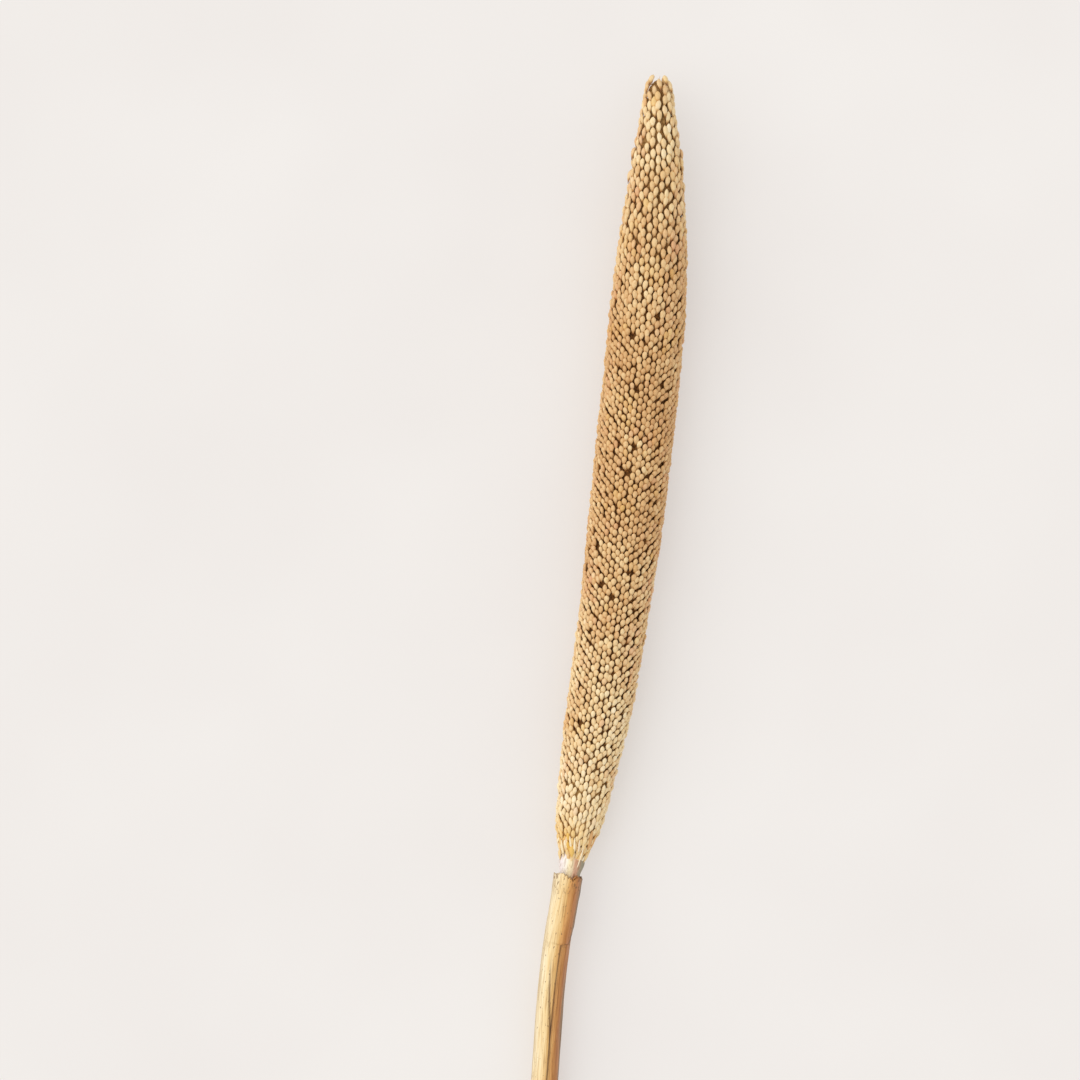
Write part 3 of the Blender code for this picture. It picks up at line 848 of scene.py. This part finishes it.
def dried_straw():
    """The bare stalk: a hard, slightly glossy rind with long fibres and painted light and shade across it,
    and matt pith at the cut.
    """
    material, tree, shader = start_material("dried_straw", 0.45)
    place = add_node(tree, "Attribute", attribute_name="stem_place").outputs["Vector"]
    pith = add_node(tree, "Attribute", attribute_name="pith").outputs["Fac"]
    across = add_node(tree, "SeparateXYZ", {0: place}).outputs["X"]
    long_way = add_node(tree, "Mapping", {"Vector": place, "Scale": (1.0, 1.0, 0.04)}).outputs[0]
    fibres = add_node(tree, "TexNoise", {"Vector": long_way, "Scale": 1 / 0.35, "Detail": 3.0}).outputs[0]
    shift = add_node(tree, "Math", {0: fibres, 1: 1.2, 2: -0.6}, operation="MULTIPLY_ADD").outputs[0]
    side = add_node(tree, "Math", {0: across, 1: shift}, operation="ADD").outputs[0]
    side = add_node(tree, "MapRange", {"Value": side, "From Min": -4.2, "From Max": 4.2}).outputs[0]
    # Painted light and shade: the rind's pale cream is painted lighter on the picture's left, where the
    # light comes from, and darker through pink-tan to grey-olive on its right, with a greyer edge at the
    # far left.
    rind_with_painted_light = add_node(tree, "ValToRGB", {"Fac": side}, stops=(
        (0.0, "#d9cdc6"), (0.12, "#f4eaea"), (0.3, "#f6efe2"), (0.42, "#f3e2ba"), (0.55, "#f3e0bb"),
        (0.63, "#dcae8e"), (0.74, "#cfa284"), (0.84, "#a89a7c"), (1.0, "#8f8a76"),
    )).outputs[0]
    streak = add_node(tree, "ValToRGB", {"Fac": fibres}, stops=(
        (0.32, "#b9a07c"), (0.5, "#ffffff"),
    )).outputs[0]
    rind_with_painted_light = add_node(
        tree, "Mix", {0: 0.7, 6: rind_with_painted_light, 7: streak}, data_type="RGBA", blend_type="MULTIPLY",
    ).outputs[2]
    bundles = add_node(tree, "TexVoronoi", {"Vector": place, "Scale": 1 / 0.55}).outputs["Distance"]
    core = add_node(tree, "ValToRGB", {"Fac": bundles}, stops=(
        (0.12, "#a9814f"), (0.3, "#efe2c2"),
    )).outputs[0]
    colour = add_node(tree, "Mix", {0: pith, 6: rind_with_painted_light, 7: core}, data_type="RGBA").outputs[2]
    tree.links.new(colour, shader.inputs["Base Color"])
    bump = add_node(tree, "Bump", {"Height": fibres, "Strength": 0.5, "Distance": 0.12 * MM}).outputs[0]
    tree.links.new(bump, shader.inputs["Normal"])
    return material


def dried_leaf():
    """The leaf sheath: thin, papery and faintly glossy, with long veins, brown specks, and painted light
    and shade across it.
    """
    material, tree, shader = start_material("dried_leaf", 0.5)
    place = add_node(tree, "Attribute", attribute_name="stem_place").outputs["Vector"]
    groove = add_node(tree, "Attribute", attribute_name="groove").outputs["Fac"]
    margin = add_node(tree, "Attribute", attribute_name="to_margin").outputs["Fac"]
    from_rim = add_node(tree, "Attribute", attribute_name="from_rim").outputs["Fac"]
    across = add_node(tree, "SeparateXYZ", {0: place}).outputs["X"]
    # Veins and the wobble of the colour bands are long and narrow: 0.3 mm and 1.4 mm across.
    long_way = add_node(tree, "Mapping", {"Vector": place, "Scale": (1.0, 1.0, 0.03)}).outputs[0]
    veins = add_node(tree, "TexNoise", {"Vector": long_way, "Scale": 1 / 0.3, "Detail": 3.0}).outputs[0]
    band_wobble_way = add_node(tree, "Mapping", {"Vector": place, "Scale": (1.0, 1.0, 0.1)}).outputs[0]
    band_wobble = add_node(tree, "TexNoise", {"Vector": band_wobble_way, "Scale": 1 / 1.4, "Detail": 3.0}).outputs[0]
    shift = add_node(tree, "Math", {0: band_wobble, 1: 3.0, 2: -1.5}, operation="MULTIPLY_ADD").outputs[0]
    side = add_node(tree, "Math", {0: across, 1: shift}, operation="ADD").outputs[0]
    side = add_node(tree, "MapRange", {"Value": side, "From Min": -4.9, "From Max": 4.9}).outputs[0]
    # Painted light and shade over the sheath's own colours: painted pale cream on the picture's left,
    # where the light comes from, through straw and tan to the sheath's own orange-brown and pink strips,
    # then painted grey shade at the right edge. It is greyer at the far left edge too.
    colour = add_node(tree, "ValToRGB", {"Fac": side}, stops=(
        (0.0, "#d8c7a6"), (0.12, "#f2e4c1"), (0.3, "#f3dcaa"), (0.5, "#e4bb78"), (0.62, "#d9a260"),
        (0.74, "#b87c40"), (0.84, "#c38b62"), (0.93, "#94806a"), (1.0, "#8b7d6c"),
    )).outputs[0]
    vein_tint = add_node(tree, "ValToRGB", {"Fac": veins}, stops=(
        (0.3, "#a98552"), (0.45, "#f1e2c8"), (0.6, "#ffffff"),
    )).outputs[0]
    colour = add_node(
        tree, "Mix", {0: 0.75, 6: colour, 7: vein_tint}, data_type="RGBA", blend_type="MULTIPLY",
    ).outputs[2]
    # Brown specks 0.5 mm across, thick at the rim and rare below it.
    speck_way = add_node(tree, "Mapping", {"Vector": place, "Scale": (1.0, 1.0, 0.5)}).outputs[0]
    specks = add_node(tree, "TexNoise", {"Vector": speck_way, "Scale": 1 / 0.55, "Detail": 2.0}).outputs[0]
    near = add_node(tree, "MapRange", {
        "Value": from_rim, "From Min": 1.0, "From Max": 9.0, "To Min": 0.55, "To Max": 0.66,
    }).outputs[0]
    specked = add_node(tree, "Math", {0: specks, 1: near}, operation="SUBTRACT").outputs[0]
    specked = add_node(tree, "MapRange", {
        "Value": specked, "From Min": 0.0, "From Max": 0.05, "To Max": 0.75,
    }).outputs[0]
    speck, groove_and_margin_shade = linear("#7c5836"), linear("#5d3a1c")
    colour = add_node(tree, "Mix", {0: specked, 6: colour, 7: speck}, data_type="RGBA").outputs[2]
    # Painted shade in the grooves, and a painted shadow along the outer margin where its edge stands over
    # the layer below, mixed with the margin's own brown.
    edge = add_node(tree, "MapRange", {
        "Value": margin, "From Min": 0.1, "From Max": 0.55, "To Min": 0.85, "To Max": 0.0,
    }).outputs[0]
    groove_and_margin_shade_mask = add_node(
        tree, "Math", {0: groove, 1: 0.9, 2: edge}, operation="MULTIPLY_ADD", use_clamp=True,
    ).outputs[0]
    colour = add_node(tree, "Mix", {0: groove_and_margin_shade_mask, 6: colour, 7: groove_and_margin_shade}, data_type="RGBA").outputs[2]
    tree.links.new(colour, shader.inputs["Base Color"])
    bump = add_node(tree, "Bump", {"Height": veins, "Strength": 0.5, "Distance": 0.1 * MM}).outputs[0]
    tree.links.new(bump, shader.inputs["Normal"])
    return material


def pale_paper():
    """A sheet of matt paper on a light table, which glows through it and softens the shadows."""
    material, tree, shader = start_material(
        "pale_paper", 0.9, Specular_IOR_Level=0.2, Emission_Strength=0.5,
    )
    place = add_node(tree, "TexCoord").outputs["Object"]
    cloud = add_node(tree, "TexNoise", {"Vector": place, "Scale": 1 / (90 * MM), "Detail": 2.0}).outputs[0]
    colour = add_node(tree, "ValToRGB", {"Fac": cloud}, stops=(
        (0.3, "#a8a6a4"), (0.7, "#abaaa8"),
    )).outputs[0]
    glow = add_node(tree, "ValToRGB", {"Fac": cloud}, stops=(
        (0.3, "#f2edea"), (0.7, "#f4efec"),
    )).outputs[0]
    tree.links.new(colour, shader.inputs["Base Color"])
    tree.links.new(glow, shader.inputs["Emission Color"])
    return material


# The picture: turned so that the stem leans right, as wide as 345.6 mm at the stem's height.
VIEW_TURN = math.radians(5.006)
VIEW_MIDDLE = (89.98, 25.98)
VIEW_WIDTH = 345.6
VIEW_HEIGHT = 12.0
LENS = 100.0
SENSOR = 36.0


def place_camera():
    """Look straight down on the object, with its tip at the top of the picture."""
    camera = bpy.data.objects.new("camera", bpy.data.cameras.new("camera"))
    camera.data.lens = LENS
    camera.data.sensor_width = SENSOR
    camera.data.clip_start = 0.05
    away = VIEW_WIDTH * LENS / SENSOR
    sine, cosine = math.sin(VIEW_TURN), math.cos(VIEW_TURN)
    turned = Matrix(((sine, cosine, 0.0), (-cosine, sine, 0.0), (0.0, 0.0, 1.0))).to_4x4()
    turned.translation = (VIEW_MIDDLE[0] * MM, VIEW_MIDDLE[1] * MM, (VIEW_HEIGHT + away) * MM)
    camera.matrix_world = turned
    bpy.context.scene.collection.objects.link(camera)
    bpy.context.scene.camera = camera


FLOOR_HALF_WIDTH = 6.0


def set_stage():
    """A wide pale floor under soft light that comes mostly from the left of the picture."""
    size = FLOOR_HALF_WIDTH
    corners = [(-size, -size, 0), (size, -size, 0), (size, size, 0), (-size, size, 0)]
    mesh = bpy.data.meshes.new("floor")
    mesh.from_pydata(corners, [], [(0, 1, 2, 3)])
    mesh.materials.append(pale_paper())
    floor = bpy.data.objects.new("floor", mesh)
    bpy.context.scene.collection.objects.link(floor)
    sun = bpy.data.objects.new("soft_sun", bpy.data.lights.new("soft_sun", "SUN"))
    sun.data.energy = 1.25
    sun.data.angle = math.radians(80)
    sun.data.color = linear("#fffaf4")[:3]
    sun.rotation_euler = (math.radians(-42), math.radians(12), 0.0)
    bpy.context.scene.collection.objects.link(sun)
    world = bpy.data.worlds.new("studio")
    world.use_nodes = True
    backdrop = world.node_tree.nodes["Background"]
    backdrop.inputs["Color"].default_value = linear("#fbfaf9")
    backdrop.inputs["Strength"].default_value = 0.82
    bpy.context.scene.world = world
    bpy.context.scene.view_settings.view_transform = "Standard"


def main():
    husk = husk_of_dried_millet()
    place_camera()
    grow_grains(husk)
    build_rachis(chaff_with_gap_shade())
    grow_bristles(husk)
    grow_base_husks(husk)
    build_stalk(dried_straw())
    build_sheath(dried_leaf())
    set_stage()


main()
